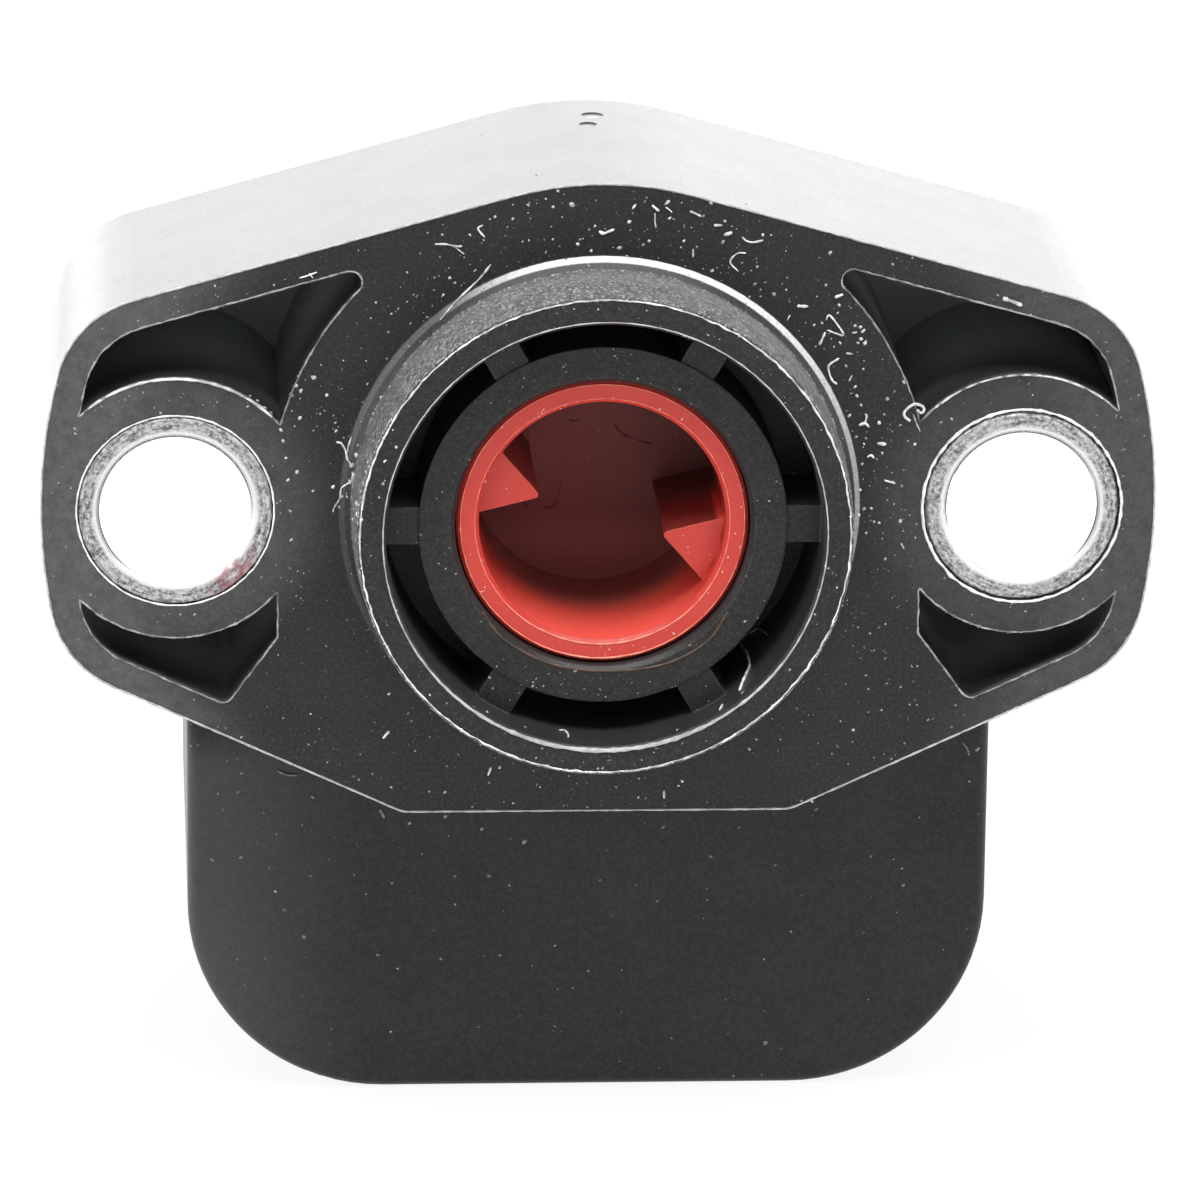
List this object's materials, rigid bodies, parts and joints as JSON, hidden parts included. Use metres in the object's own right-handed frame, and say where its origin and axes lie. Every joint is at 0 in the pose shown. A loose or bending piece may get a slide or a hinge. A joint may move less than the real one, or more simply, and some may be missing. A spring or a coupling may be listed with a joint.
{
  "type": "throttle position sensor",
  "caption": "Rotary throttle position sensor with a bolt-on flange, round collar, tanged drive socket and a rear-facing connector shroud.",
  "frame": {"origin": "on the rotor axis, in the plane of the mounting face", "axes": "-Y along the rotor axis, out of the collar towards the throttle body; +X along the bolt line; +Z from the connector shroud towards the crown"},
  "size_m": [0.042, 0.0279, 0.0376],
  "materials": {
    "black_plastic": "moulded, glass-filled, slightly dusty",
    "red_plastic": "moulded, satin",
    "bushing_steel": "zinc plated, grainy faces",
    "spring_steel": "drawn wire",
    "contact_brass": "stamped",
    "terminal_tin": "tinned",
    "board": "lacquered",
    "carbon_track": "printed",
    "sealant": "cured bead"
  },
  "bodies": {
    "housing": {"housing": "black_plastic", "bushing_left": "bushing_steel", "bushing_right": "bushing_steel", "thrust_washer": "contact_brass", "return_spring": "spring_steel", "circuit_board": "board", "resistive_track": "carbon_track", "collector_track": "carbon_track", "terminal_1": "terminal_tin", "terminal_2": "terminal_tin", "terminal_3": "terminal_tin", "terminal_rivet_1": "terminal_tin", "terminal_rivet_2": "terminal_tin", "terminal_rivet_3": "terminal_tin", "rear_cover": "black_plastic", "cover_sealant": "sealant"},
    "rotor": {"rotor": "red_plastic", "wiper_carrier": "black_plastic", "wiper_plate": "contact_brass", "wiper_brush_outer": "contact_brass", "wiper_brush_inner": "contact_brass"}
  },
  "joints": [
    {"name": "rotor_turn", "type": "hinge", "parent": "housing", "child": "rotor", "pos_m": [0, 0, 0], "axis": [0, -1, 0], "range_deg": [0, 100], "stiffness_Nm_per_rad": 0.0086, "springref_deg": -66.46, "deforming": ["return_spring"]}
  ]
}
